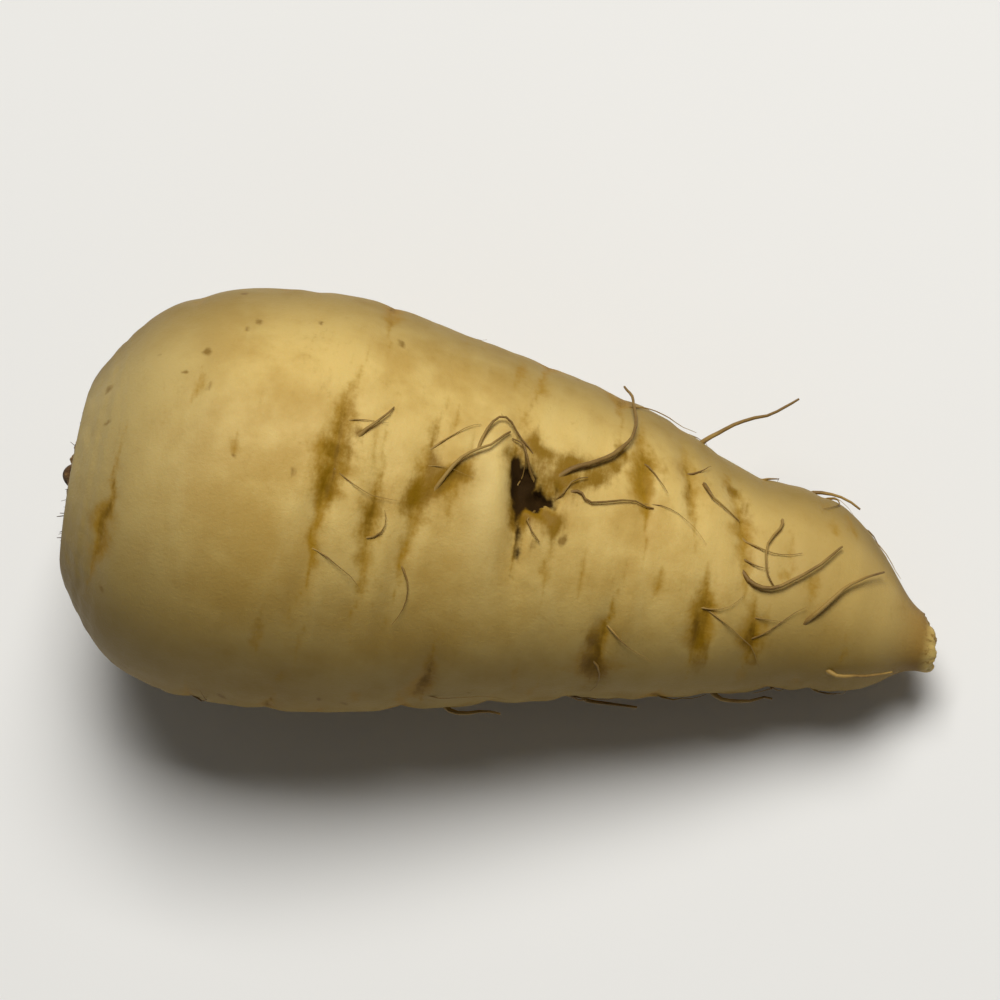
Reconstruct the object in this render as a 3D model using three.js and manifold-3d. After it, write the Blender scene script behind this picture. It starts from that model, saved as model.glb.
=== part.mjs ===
// A short, stout parsnip lying on its side, with its leaf stalks trimmed off close to the crown.
// Millimetres, +Z up. The surface it lies on is z = 0, +X runs from the crown to the tail, and the
// origin is under the middle of the root.
//
// The root is worked out on its own straight axis first: "along" is the distance from the crown,
// "turn" is the angle round the axis, 0 on top and 90 degrees on the +Y side.
import * as THREE from "three";
import { mergeVertices } from "three/addons/utils/BufferGeometryUtils.js";
import Module from "manifold-3d";

const wasm = await Module();
wasm.setup();

// Driving dimensions of the root
const BELLY_RADIUS = 18; // the thickest place, behind the shoulder
const TAIL_END = 74.6; // the broken end of the tail
const TAIL_RADIUS = 2.3; // the tail where it snapped
const RIM_RADIUS = 7.7; // the lip round the hollow at the crown
const RIM_AT = 0.8;
const HOLLOW_FLOOR_AT = 3; // the hollow that the leaf stalks grow from
const HOLLOW_RADIUS = 6.7;
const TILT_DEG = 12.2; // the root tapers, so on its side its axis slopes down to the tail
const FLAT_DEPTH = 0.45; // how much the underside is flattened where the root rests

// Driving dimensions of the crown
const CROWN_GAP = 0.3;
const CROWN_RADIUS = HOLLOW_RADIUS - 1.5 * CROWN_GAP;
const PAD_THICKNESS = 0.9;
const STUB_COUNT = 10;
const STUB_THICKNESS = 1.15;
const SPIRAL_TURN_DEG = 137.5;

// How finely the surfaces are cut
const ROWS_ALONG = 80;
const COLUMNS_ROUND = 44;
const ROOTLET_RADIUS = 0.45;
const ROOTLET_SIDES = 5;
const ROOTLET_STEPS = 8;

const RIGHT_TURN = Math.PI / 2;
const rad = THREE.MathUtils.degToRad;
const { smoothstep, lerp } = THREE.MathUtils;

const bell = (distance, width) => Math.exp(-((distance / width) ** 2));

// A repeatable draw between 0 and 1.
function drawer(seed) {
  let state = seed;
  return () => {
    state = (state * 16807) % 2147483647;
    return state / 2147483647;
  };
}

// The outline of the root: distance along the axis, radius there
const shoulderAndBody = [
  [RIM_AT, RIM_RADIUS],
  [2, 10],
  [5, 14.1],
  [10, 16.9],
  [17, BELLY_RADIUS],
  [22, BELLY_RADIUS],
  [32, 16.2],
  [42, 14],
  [51, 11.7],
  [57, 9.7],
  [62, 8.7],
  [66, 7.8],
  [68, 6.8],
  [69.5, 5.7],
  [71, 4.3],
  [72.1, 3.2],
  [73, 2.6],
  [TAIL_END - 0.5, TAIL_RADIUS],
];
const hollow = [
  [HOLLOW_FLOOR_AT, 0],
  [HOLLOW_FLOOR_AT, 3.2],
  [HOLLOW_FLOOR_AT, 6.2],
  [2.6, HOLLOW_RADIUS],
  [1.5, 7.1],
];
const brokenEnd = [
  [TAIL_END, 1.6],
  [TAIL_END - 0.3, 0.8],
  [TAIL_END - 0.1, 0],
];
const outline = new THREE.CatmullRomCurve3(
  shoulderAndBody.map(([along, radius]) => new THREE.Vector3(along, radius, 0)),
  false,
  "centripetal",
);

// The rows lie closer together towards the tail, where the creases crowd.
function bodyRows() {
  const rows = [];
  for (let i = 0; i <= ROWS_ALONG; i++) {
    const share = i / ROWS_ALONG;
    const point = outline.getPointAt(Math.min(1, share * (1.35 - 0.35 * share)));
    rows.push([point.x, point.y]);
  }
  return rows;
}
const rows = bodyRows();

function radiusAt(along) {
  const next = Math.max(1, rows.findIndex(([at]) => at >= along));
  const [from, to] = along >= rows.at(-1)[0] ? rows.slice(-2) : [rows[next - 1], rows[next]];
  return lerp(from[1], to[1], THREE.MathUtils.clamp((along - from[0]) / (to[0] - from[0]), 0, 1));
}

// The axis itself wanders a little to the +Y side, and the tail hangs back.
function wander(along) {
  return (
    -0.3 +
    1.4 * smoothstep(along, 0, 24) -
    1 * smoothstep(along, 45, 57) +
    0.4 * bell(along - 63, 3) -
    2.2 * smoothstep(along, 65, TAIL_END)
  );
}

// Creases across the root. at: along; turn and reach: middle and half length round the root in
// degrees; slant: millimetres along for each degree of turn
const seenCreases = [
  { at: 4.6, turn: -31, reach: 24, slant: 0.023, depth: 0.4, width: 0.9 },
  { at: 22.6, turn: -8, reach: 28, slant: 0.031, depth: 0.7, width: 1 },
  { at: 26.5, turn: -18, reach: 22, slant: 0.01, depth: 0.45, width: 0.8 },
  { at: 29.8, turn: -12, reach: 28, slant: 0.02, depth: 0.45, width: 0.9 },
  { at: 37.9, turn: 0, reach: 25, slant: -0.03, depth: 1, width: 0.8 },
  { at: 48.1, turn: 18, reach: 24, slant: -0.02, depth: 0.45, width: 0.8 },
  { at: 52, turn: 28, reach: 24, slant: -0.045, depth: 0.5, width: 0.8 },
  { at: 56.8, turn: 18, reach: 34, slant: -0.04, depth: 0.6, width: 1 },
  { at: 54.6, turn: -32, reach: 24, slant: 0, depth: 0.6, width: 0.9 },
  { at: 59.2, turn: -36, reach: 22, slant: -0.01, depth: 0.5, width: 0.8 },
  { at: 46.8, turn: -47, reach: 20, slant: 0.03, depth: 0.5, width: 0.9 },
  { at: 33.1, turn: -70, reach: 16, slant: 0.03, depth: 0.45, width: 0.9 },
];

// The sides that face away: creases in four ranks, closer together towards the tail.
// Each rank: its turn, and how deep its creases go at most
const creaseRanks = [
  [82, 0.3],
  [128, 0.8],
  [-152, 0.8],
  [-106, 0.5],
];

function backCreases() {
  const draw = drawer(29);
  const creases = [];
  for (const [rank, deepest] of creaseRanks) {
    let at = 9 + 5 * draw();
    while (at < 68) {
      creases.push({
        at,
        turn: rank + 30 * (draw() - 0.5),
        reach: 14 + 14 * draw(),
        slant: 0.05 * (draw() - 0.5),
        depth: deepest * (0.5 + 0.5 * draw()),
        width: 0.8 + 0.25 * draw(),
      });
      at += lerp(11, 3.5, at / 68) * (0.7 + 0.6 * draw());
    }
  }
  return creases;
}
const creases = [...seenCreases, ...backCreases()];

// The pit that a lost side root left, with the ridge that swelled beside it
const pit = { at: 39.5, turn: 3, width: 1.5, depth: 1.5 };
const ridge = { at: 36, turn: -4, width: 1.2, reach: 22, height: 0.4 };

// Degrees from one turn to another, between -180 and 180
const turnBetween = (turn, from) => ((turn - from + 540) % 360) - 180;

function creaseDepth(crease, along, turn) {
  const round = turnBetween(turn, crease.turn);
  if (Math.abs(round) > 2 * crease.reach) return 0;
  const off = along - crease.at - crease.slant * round;
  return crease.depth * bell(off, crease.width) * bell(round, crease.reach);
}

// What the skin stands above or below the outline
function relief(along, turn) {
  const angle = rad(turn);
  let height = 0.26 * Math.cos(2 * angle - 1.2 + 0.045 * along);
  height += 0.16 * Math.cos(3 * angle + 1.3 - 0.11 * along);
  for (const crease of creases) height -= creaseDepth(crease, along, turn);
  const pitRound = rad(turnBetween(turn, pit.turn)) * radiusAt(pit.at);
  height -= pit.depth * bell(along - pit.at, pit.width) * bell(pitRound, pit.width);
  height +=
    ridge.height *
    bell(along - ridge.at, ridge.width) *
    bell(turnBetween(turn, ridge.turn), ridge.reach);
  // The flattened underside and both ends stay plain.
  const underside = smoothstep(180 - Math.abs(turnBetween(turn, 0)), 14, 34);
  const ends = smoothstep(along, RIM_AT, 4) * (1 - smoothstep(along, 69, 73));
  return height * underside * ends;
}

// A point of the root's surface, or above it by lift
function surfacePoint(along, turn, lift = 0) {
  const radius = radiusAt(along) + relief(along, turn) + lift;
  return new THREE.Vector3(
    along,
    wander(along) + radius * Math.sin(rad(turn)),
    radius * Math.cos(rad(turn)),
  );
}

// One closed surface with shared corners, without the triangles that shrink to nothing at a pole
function welded(geometry) {
  for (const name of ["uv", "normal"]) geometry.deleteAttribute(name);
  const merged = mergeVertices(geometry, 1e-4);
  const kept = [];
  for (let i = 0; i < merged.index.count; i += 3) {
    const [a, b, c] = [0, 1, 2].map((corner) => merged.index.getX(i + corner));
    if (a !== b && b !== c && a !== c) kept.push(a, b, c);
  }
  merged.setIndex(kept);
  return merged;
}

function solidOf(geometry) {
  const shape = welded(geometry);
  return new wasm.Manifold(
    new wasm.Mesh({
      numProp: 3,
      vertProperties: shape.attributes.position.array,
      triVerts: new Uint32Array(shape.index.array),
    }),
  );
}

function geometryOf(solid) {
  const mesh = solid.getMesh();
  const geometry = new THREE.BufferGeometry();
  geometry.setAttribute("position", new THREE.BufferAttribute(mesh.vertProperties, 3));
  geometry.setIndex(new THREE.BufferAttribute(mesh.triVerts, 1));
  geometry.computeVertexNormals();
  return geometry;
}

// The largest body of a solid: hollows that the joining sealed are filled, and scraps are dropped.
function wholeOf(solid) {
  const bodies = solid.decompose();
  return bodies.sort((a, b) => b.volume() - a.volume())[0];
}

function moveCorners(geometry, place) {
  const position = geometry.attributes.position;
  const corner = new THREE.Vector3();
  for (let i = 0; i < position.count; i++) {
    corner.fromBufferAttribute(position, i);
    position.setXYZ(i, ...place(corner).toArray());
  }
  return geometry;
}

// The root's body: its outline turned about the axis, then given its bend and its relief
function bodyGeometry() {
  const profile = [...hollow, ...rows, ...brokenEnd];
  const turned = new THREE.LatheGeometry(
    profile.map(([along, radius]) => new THREE.Vector2(radius, along)),
    COLUMNS_ROUND,
  );
  turned.rotateZ(-RIGHT_TURN);
  return moveCorners(welded(turned), (corner) => {
    const radius = Math.hypot(corner.y, corner.z);
    const turn = THREE.MathUtils.radToDeg(Math.atan2(corner.y, corner.z));
    const share = Math.min(1, radius / radiusAt(corner.x)) ** 4;
    const scale = radius > 0 ? 1 + (share * relief(corner.x, turn)) / radius : 1;
    return corner.set(corner.x, corner.y * scale + wander(corner.x), corner.z * scale);
  });
}

// Side rootlets: [along, turn, lift] from a start well inside the root
const seenRootlets = [
  [[30.5, -8, -2], [31.6, 0, 0.1], [33.2, 9, 0.7], [35, 13, 0.7], [36.4, 20, 0.4]],
  [[40.2, 8, -2], [42, 14, 0.4], [45.2, 24, 0.8], [46.6, 38, 0.8], [46.2, 60, 0.9], [45.4, 74, 1.3]],
  [[56.8, 2, -2], [58, -8, 0.2], [60, -11, 0.6], [62.4, -3, 0.7], [64.2, 9, 0.7], [65.4, 21, 0.6]],
  [[62.6, -34, -2], [64, -22, 0.3], [66, -4, 0.7], [68.2, 14, 1], [69.4, 30, 1.4]],
  [[52, 72, -2], [53.2, 78, 1], [55.4, 80, 3.6], [58.6, 79, 6.2], [60, 80, 7.6]],
];

function backRootlets() {
  const draw = drawer(7);
  const paths = [];
  for (const [at, rank] of [[62, 104], [57, -92], [50, 118], [46, -112], [41, 96], [35, -96], [66, -60]]) {
    const sideways = 22 * (draw() - 0.5);
    const rise = 0.5 + 0.5 * draw();
    paths.push([
      [at - 0.6, rank, -2],
      [at + 0.6, rank + 0.2 * sideways, 0.5],
      [at + 2.6, rank + 0.6 * sideways, rise],
      [at + 4.6 + draw(), rank + sideways, rise + 0.3],
    ]);
  }
  return paths;
}

// A thin root that tapers along a smooth path
function rootletGeometry(path) {
  const curve = new THREE.CatmullRomCurve3(path.map((stop) => surfacePoint(...stop)));
  const section = new THREE.Shape();
  for (let side = 0; side < ROOTLET_SIDES; side++) {
    const angle = (2 * Math.PI * side) / ROOTLET_SIDES;
    const corner = [ROOTLET_RADIUS * Math.cos(angle), ROOTLET_RADIUS * Math.sin(angle)];
    if (side) section.lineTo(...corner);
    else section.moveTo(...corner);
  }
  const tube = new THREE.ExtrudeGeometry(section, {
    steps: ROOTLET_STEPS,
    extrudePath: curve,
    bevelEnabled: false,
  });
  const middles = curve.getSpacedPoints(ROOTLET_STEPS);
  return moveCorners(tube, (corner) => {
    const distances = middles.map((middle) => middle.distanceTo(corner));
    const nearest = distances.indexOf(Math.min(...distances));
    const taper = 0.33 * (nearest / ROOTLET_STEPS);
    return corner.lerp(middles[nearest], taper);
  });
}

// The root lies on its side: its axis slopes, and the underside is flattened at z = 0.
const tilt = new THREE.Matrix4().makeRotationY(rad(TILT_DEG));

function lyingDown() {
  const lowest = Math.min(...rows.map(([along, radius]) =>
    new THREE.Vector3(along, 0, -radius).applyMatrix4(tilt).z));
  return new THREE.Matrix4().makeTranslation(0, 0, -lowest - FLAT_DEPTH).multiply(tilt);
}
const placed = lyingDown();

function rootMesh() {
  let solid = solidOf(bodyGeometry());
  for (const path of [...seenRootlets, ...backRootlets()]) {
    solid = solid.add(solidOf(rootletGeometry(path)));
  }
  const table = new THREE.BoxGeometry(300, 300, 20).translate(0, 0, -10);
  const lying = solidOf(geometryOf(solid).applyMatrix4(placed));
  const laid = wholeOf(lying.subtract(solidOf(table)));
  const skin = new THREE.MeshStandardMaterial({ color: 0xc8aa6a, roughness: 0.55, metalness: 0 });
  const mesh = new THREE.Mesh(geometryOf(laid), skin);
  mesh.name = "root";
  return mesh;
}

// The crown is built flat, its height above the hollow's floor along Z, then set in the hollow.
function crownPad() {
  const profile = [
    [0, 0],
    [CROWN_RADIUS - 0.4, 0],
    [CROWN_RADIUS, 0.5],
    [CROWN_RADIUS - 0.3, PAD_THICKNESS],
    [0, PAD_THICKNESS + 0.3],
  ];
  const pad = new THREE.LatheGeometry(profile.map(([r, h]) => new THREE.Vector2(r, h)), 30);
  return pad.rotateX(RIGHT_TURN);
}

// One leaf-stalk base: a curved stub that wraps part of the way round the bud and leans outwards
function stubGeometry(index, draw) {
  const inward = index / (STUB_COUNT - 1);
  const radius = lerp(CROWN_RADIUS - 0.65 * STUB_THICKNESS, 1.9, inward);
  const halfArc = rad(lerp(38, 80, inward));
  const height = lerp(1.1, 1.3, inward) + 0.6 * draw();
  const slope = 0.12 * (draw() - 0.5);
  const outline = new THREE.Shape();
  outline.absarc(0, 0, radius + STUB_THICKNESS / 2, -halfArc, halfArc, false);
  outline.absarc(0, 0, radius - STUB_THICKNESS / 2, halfArc, -halfArc, true);
  const stub = new THREE.ExtrudeGeometry(outline, {
    depth: height,
    steps: 1,
    curveSegments: 6,
    bevelEnabled: false,
  });
  moveCorners(stub, (corner) => {
    const lean = 1 + 0.045 * corner.z;
    const top = corner.z > 0 ? corner.z + slope * corner.y : 0;
    return corner.set(corner.x * lean, corner.y * lean, top + 0.5);
  });
  return stub.rotateZ(rad(index * SPIRAL_TURN_DEG));
}

function crownMesh() {
  const draw = drawer(13);
  let solid = solidOf(crownPad());
  for (let index = 0; index < STUB_COUNT; index++) {
    solid = solid.add(solidOf(stubGeometry(index, draw)));
  }
  const bud = new THREE.SphereGeometry(1.1, 10, 6).scale(1, 1, 1.3).translate(0, 0, PAD_THICKNESS + 0.6);
  solid = wholeOf(solid.add(solidOf(bud)));
  const axes = new THREE.Matrix4().makeBasis(
    new THREE.Vector3(0, -1, 0),
    new THREE.Vector3(0, 0, 1),
    new THREE.Vector3(-1, 0, 0),
  );
  axes.setPosition(HOLLOW_FLOOR_AT - CROWN_GAP, wander(RIM_AT), 0);
  const husk = new THREE.MeshStandardMaterial({ color: 0x54422a, roughness: 0.85, metalness: 0 });
  const mesh = new THREE.Mesh(geometryOf(solid).applyMatrix4(placed.clone().multiply(axes)), husk);
  mesh.name = "crown";
  return mesh;
}

// The origin goes under the middle of the whole part.
function centred(meshes) {
  const box = new THREE.Box3();
  for (const mesh of meshes) box.union(new THREE.Box3().setFromObject(mesh, true));
  const middle = box.getCenter(new THREE.Vector3());
  for (const mesh of meshes) mesh.geometry.translate(-middle.x, -middle.y, 0);
  return meshes;
}

const parsnip = new THREE.Group();
parsnip.add(...centred([rootMesh(), crownMesh()]));

export default parsnip;
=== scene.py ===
import math
import random

import bpy
import numpy as np
from mathutils import Matrix, Vector, noise
from mathutils.bvhtree import BVHTree


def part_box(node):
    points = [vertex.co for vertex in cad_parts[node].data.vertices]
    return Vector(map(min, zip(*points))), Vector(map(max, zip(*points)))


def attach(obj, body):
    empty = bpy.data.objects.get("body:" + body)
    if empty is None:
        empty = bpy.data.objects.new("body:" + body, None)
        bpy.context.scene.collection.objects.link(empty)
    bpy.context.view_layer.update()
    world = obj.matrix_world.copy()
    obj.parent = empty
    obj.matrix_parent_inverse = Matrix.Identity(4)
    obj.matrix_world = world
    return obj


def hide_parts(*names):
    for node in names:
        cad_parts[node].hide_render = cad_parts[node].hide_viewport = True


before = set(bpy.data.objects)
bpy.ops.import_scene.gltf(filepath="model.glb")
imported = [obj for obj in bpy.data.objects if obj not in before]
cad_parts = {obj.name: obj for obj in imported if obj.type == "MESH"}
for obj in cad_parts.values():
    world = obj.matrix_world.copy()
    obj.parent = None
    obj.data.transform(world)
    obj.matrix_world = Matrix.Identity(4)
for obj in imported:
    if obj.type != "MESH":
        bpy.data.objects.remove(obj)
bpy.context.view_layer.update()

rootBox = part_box("root")
mm = 0.001
rightTurn = math.pi / 2
print("frame loaded")


# Small helpers

def selectNone():
    bpy.ops.object.select_all(action="DESELECT")


def selectOnly(piece):
    selectNone()
    piece.select_set(True)
    bpy.context.view_layer.objects.active = piece


def makeFiner(piece, levels):
    finer = piece.modifiers.new("finer", "SUBSURF")
    finer.levels = levels
    finer.render_levels = levels
    selectOnly(piece)
    bpy.ops.object.modifier_apply(modifier=finer.name)


def startEdit():
    # enters edit mode with everything selected
    bpy.ops.object.mode_set(mode="EDIT")
    bpy.ops.mesh.select_all(action="SELECT")


def finishEdit():
    # turns every face outwards and leaves edit mode
    bpy.ops.mesh.select_all(action="SELECT")
    bpy.ops.mesh.normals_make_consistent(inside=False)
    bpy.ops.object.mode_set(mode="OBJECT")


def settle(piece):
    # the object ends at the origin, unturned and unscaled, with its place in its mesh
    selectOnly(piece)
    bpy.ops.object.transform_apply(location=True, rotation=True, scale=True)


def joinPieces(pieces, name):
    selectNone()
    for piece in pieces:
        piece.select_set(True)
    bpy.context.view_layer.objects.active = pieces[0]
    bpy.ops.object.join()
    pieces[0].name = name
    return pieces[0]


def addObject(name, data):
    piece = bpy.data.objects.new(name, data)
    bpy.context.scene.collection.objects.link(piece)
    return piece


def writeMask(mesh, name, values):
    attribute = mesh.attributes.new(name, "FLOAT", "POINT")
    attribute.data.foreach_set("value", np.asarray(values, dtype=np.float32))


def mix(start, end, share):
    return start + (end - start) * share


def bell(distance, width):
    return np.exp(-np.square(distance / width))


def smoothstep(value, low, high):
    share = np.clip((value - low) / (high - low), 0, 1)
    return share * share * (3 - 2 * share)


def turnBetween(turn, start):
    return (turn - start + 540) % 360 - 180


def drawer(seed):
    # a repeatable draw between 0 and 1
    state = seed
    while True:
        state = (state * 16807) % 2147483647
        yield state / 2147483647


def noiseOver(points, size=1, seed=0):
    # smooth noise between about -1 and 1 at each row of points, with lumps of that size in mm
    return np.array([noise.noise(Vector(place)) for place in points / size + seed])


# The root's own measures, in millimetres along its axis and degrees round it, 0 on top

rootShape = {
    "outline": [
        (0.8, 7.7), (2, 10), (5, 14.1), (10, 16.9), (17, 18), (22, 18), (32, 16.2), (42, 14),
        (51, 11.7), (57, 9.7), (62, 8.7), (66, 7.8), (68, 6.8), (69.5, 5.7), (71, 4.3), (72.1, 3.2),
        (73, 2.6), (74.1, 2.3),
    ],
    "hollow": [(3, 0.9), (3, 3.2), (3, 6.2), (2.6, 6.7), (1.5, 7.1)],
    "brokenEnd": [(74.5, 1.9), (74.6, 1.4), (74.3, 0.8)],
    "tailEnd": 74.6,
    "rings": 62,
    "columns": 80,
    "smoothing": 2,       # subdivision levels
    "tilt": 12.2,         # the axis slopes down to the tail
    "flatDepth": 0.45,    # how much the underside is flattened
}

outlineAlong = np.array([at for at, radius in rootShape["outline"]])
outlineRadius = np.array([radius for at, radius in rootShape["outline"]])
outlineSlope = np.gradient(outlineRadius, outlineAlong)


def radiusAt(along):
    # a smooth curve through the outline's points
    at = np.clip(along, outlineAlong[0], outlineAlong[-1])
    left = np.clip(np.searchsorted(outlineAlong, at, side="right") - 1, 0, len(outlineAlong) - 2)
    step = outlineAlong[left + 1] - outlineAlong[left]
    share = (at - outlineAlong[left]) / step
    bend = share * (1 - share)
    start = outlineSlope[left] * step
    rise = outlineRadius[left + 1] - outlineRadius[left]
    end = outlineSlope[left + 1] * step
    straight = outlineRadius[left] + rise * share
    return straight + bend * ((start - rise) * (1 - share) - (end - rise) * share)


def wander(along):
    # the axis drifts a little to the +Y side, and the tail hangs back
    drift = -0.3 + 1.4 * smoothstep(along, 0, 24) - smoothstep(along, 45, 57)
    return drift + 0.4 * bell(along - 63, 3) - 2.2 * smoothstep(along, 65, rootShape["tailEnd"])


# Creases: at, turn and reach are the middle and half length, slant is mm along for each degree,
# stain is the half width of its colour, tint how far round from the middle the colour sits,
# and dark is how brown its bottom is

seenCreases = [
    dict(at=4.6, turn=-31, reach=24, slant=0.023, depth=0.4, width=0.9, stain=0.55, dark=0.75,
         tint=6),
    dict(at=22.6, turn=-8, reach=28, slant=0.031, depth=0.7, width=1, stain=0.85, dark=0.6, tint=8),
    dict(at=26.5, turn=-18, reach=22, slant=0.01, depth=0.45, width=0.8, stain=0.5, dark=0.6),
    dict(at=29.8, turn=-12, reach=28, slant=0.02, depth=0.45, width=0.9, stain=0.5, dark=0.25,
         tint=8),
    dict(at=37.9, turn=0, reach=25, slant=-0.03, depth=1, width=0.8, stain=0.4, dark=1),
    dict(at=48.1, turn=18, reach=24, slant=-0.02, depth=0.45, width=0.8, stain=0.8, dark=0.4,
         tint=9),
    dict(at=52, turn=28, reach=24, slant=-0.045, depth=0.5, width=0.8, stain=0.4, dark=0.55),
    dict(at=56.8, turn=18, reach=34, slant=-0.04, depth=0.6, width=1, stain=0.45, dark=0.45),
    dict(at=54.6, turn=-32, reach=24, slant=0, depth=0.6, width=0.9, stain=0.75, dark=0.8),
    dict(at=59.2, turn=-36, reach=22, slant=-0.01, depth=0.5, width=0.8, stain=0.55, dark=0.75),
    dict(at=46.8, turn=-47, reach=20, slant=0.03, depth=0.5, width=0.9, stain=0.95, dark=0.9,
         tint=-9),
    dict(at=33.1, turn=-70, reach=16, slant=0.03, depth=0.45, width=0.9, stain=0.6, dark=0.8),
]
fineCreases = [
    dict(at=31.8, turn=0, reach=9, slant=0.24, depth=0.12, width=0.6, stain=0.9, dark=0.55),
    dict(at=14.6, turn=0, reach=4, slant=0, depth=0.05, width=0.4, stain=0.3, dark=0.1),
    dict(at=50.4, turn=-18, reach=7, slant=0, depth=0.12, width=0.4, stain=0.3, dark=0.25),
    dict(at=44.3, turn=-20, reach=10, slant=0, depth=0.1, width=0.4, stain=0.25, dark=0.15),
    dict(at=61.2, turn=8, reach=18, slant=-0.01, depth=0.15, width=0.5, stain=0.2, dark=0.3),
]
creaseRanks = [(82, 0.3), (128, 0.8), (-152, 0.8), (-106, 0.5)]    # turn, deepest
# hole and tear are patches: at, turn, half length and half width in mm, tilt in degrees
pit = dict(at=39.5, turn=3, width=1.5, depth=1.5,
           hole=(39.7, 1.5, 1.4, 0.85, 6), tear=(38.5, 8, 0.9, 1.2))
# the ridge's last three numbers place its pale patch: swollen skin with a painted highlight
ridge = dict(at=36, turn=-4, width=1.2, reach=22, height=0.44,
             paleHighlightAt=35.6, paleHighlightTurn=-2, paleHighlightWidth=1.6)


def backCreases():
    # the sides that face away, in four ranks, closer together towards the tail
    draw = drawer(29)
    looks = random.Random(41)
    creases = []
    for rank, deepest in creaseRanks:
        at = 9 + 5 * next(draw)
        while at < 68:
            turn = rank + 30 * (next(draw) - 0.5)
            reach = 14 + 14 * next(draw)
            slant = 0.05 * (next(draw) - 0.5)
            depth = deepest * (0.5 + 0.5 * next(draw))
            width = 0.8 + 0.25 * next(draw)
            stain = looks.uniform(0.35, 0.8)
            dark = looks.uniform(0.3, 0.85)
            creases.append(dict(at=at, turn=turn, reach=reach, slant=slant, depth=depth,
                                width=width, stain=stain, dark=dark))
            spacing = 11 + (3.5 - 11) * at / 68        # 11 mm at the crown, 3.5 at the tail
            at += spacing * (0.7 + 0.6 * next(draw))
    return creases


def faintCreases(count=90):
    # short shallow lines all round, most of them towards the tail
    looks = random.Random(5)
    creases = []
    for _ in range(count):
        at = 8 + 60 * looks.random() ** 0.7
        turn = looks.uniform(-180, 180)
        seen = abs(turnBetween(turn, -5)) < 65
        creases.append(dict(at=at, turn=turn, reach=looks.uniform(4, 11),
                            slant=looks.uniform(-0.03, 0.03), depth=looks.uniform(0.03, 0.12),
                            width=looks.uniform(0.3, 0.5), stain=looks.uniform(0.12, 0.3),
                            dark=looks.uniform(0.02, 0.12) if seen else looks.uniform(0.05, 0.35)))
    return creases


mainCreases = seenCreases + backCreases()
smallCreases = fineCreases + faintCreases()

creaseLook = {
    "foldDepth": 0.72,    # the soft fold, as a share of the crease's depth
    "foldWidth": 1.15,
    "lineDepth": 0.3,     # the sharp line at its bottom
    "lineWidth": 0.35,
    "lipHeight": 0.13,    # the raised edges beside it
    "lipAway": 1.7,
    "frayed": 0.4,        # how ragged the edges of its colour are
    "stainWidth": 1.9,
    "stainReach": 0.7,
    "darkWidth": 0.36,
    "darkest": 0.85,
}
skinRelief = {
    "oval": 0.26,                # how far the section is from round, mm
    "threeSided": 0.16,
    "swelling": 0.1,
    "wrinkles": (0.02, 0.09),    # mm at the crown, and what is added towards the tail
    "wrinklesGrow": (20, 62),
    "lipRings": 0.09,
    "lipRingsAt": 2.6,
    "roughRim": 0.22,
    "snapFrom": (73.3, 74.4),    # the broken end begins here
}


def patch(along, turn, at, middle, length, width, tiltDeg=0):
    # a soft oval at a place on the skin, length along the root and width round it in mm
    x = along - at
    y = np.radians(turnBetween(turn, middle)) * radiusAt(at)
    angle = math.radians(tiltDeg)
    first = x * math.cos(angle) + y * math.sin(angle)
    second = y * math.cos(angle) - x * math.sin(angle)
    return np.exp(-np.square(first / length) - np.square(second / width))


def rimMask(along, radius, angle):
    # old dirt and dry skin on the lip, in a ring of uneven width
    around = np.stack([along * 1.4, 5 * np.sin(angle), 5 * np.cos(angle)], axis=1)
    uneven = noiseOver(around) + 0.5 * noiseOver(around * 2.3, seed=5)
    lip = bell(along - 0.4, 0.5 + 0.3 * np.clip(uneven, -0.6, 1))
    faint = 0.12 * bell(along - 1, 1.3)
    inside = smoothstep(7.6 - radius, 0, 0.6) * (along < 4)
    return np.clip(lip + faint + inside, 0, 1)


def crackShadeMask(along, turn):
    # painted shade of the crack that runs down from the pit, in overlapping pieces: at, turn, length
    # round
    pieces = [(37.5, 11, 1.2), (37.8, 4, 1.6), (38.2, -4, 1.6), (38.5, -11, 1.5), (38.7, -17, 0.9)]
    crack = [patch(along, turn, at, middle, 0.42, length, 6) for at, middle, length in pieces]
    return 0.75 * np.max(crack, axis=0)


def bruiseMask(along, turn):
    # the brown smear that runs up from the pit, and the smudges by the creases:
    # at, turn, half length and half width in mm, and some with a tilt in degrees
    smears = [
        (38.2, 17, 0.9, 1.3), (39.8, 14.5, 1.4, 1.3), (41.6, 14.5, 1.4, 1.1),
        (43.2, 16, 1.4, 1.2, 10), (44.9, 20, 1.3, 0.7, 45), (38.4, 22, 0.5, 0.9),
        (40.9, 10.5, 1.3, 1.3), (42.6, 12.5, 1.4, 1.1), (44.6, 17, 1, 0.9),
        (45.8, 27, 0.5, 1.5), (40.2, 9, 2.4, 1.7), (41.4, -8, 0.7, 1.4),
        (40.3, -2, 1.2, 1.4), (38.6, -4, 0.9, 3), (26.6, -13, 0.75, 1.8),
        (29.6, -7, 1.2, 1.7, 10), (31, -1, 1.2, 1.3, 40), (33, 3.5, 1.1, 0.8, 35),
        (30.9, 1, 0.7, 1.9), (46.4, -56, 0.8, 1.6), (54.7, -42, 0.7, 1.6),
        (59.3, -42, 0.6, 1.4), (30.4, 9, 0.4, 2), (23, 3, 1.1, 2.6),
        (22.6, -6, 0.8, 2), (24.4, 8, 0.5, 0.5), (37, 15, 1, 0.5, 30),
        (48, 28, 0.55, 1.6), (55.7, 42, 0.8, 0.9), (57, 30, 0.5, 1.4),
        (55, -51, 0.7, 1.7), (59.8, -50, 0.55, 1.5), (47, -64, 1, 1.8),
        (46.2, -50, 0.5, 2), (33.4, -66, 0.6, 2),
    ]
    return np.clip(sum(patch(along, turn, *smear) for smear in smears), 0, 1.1)


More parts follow.
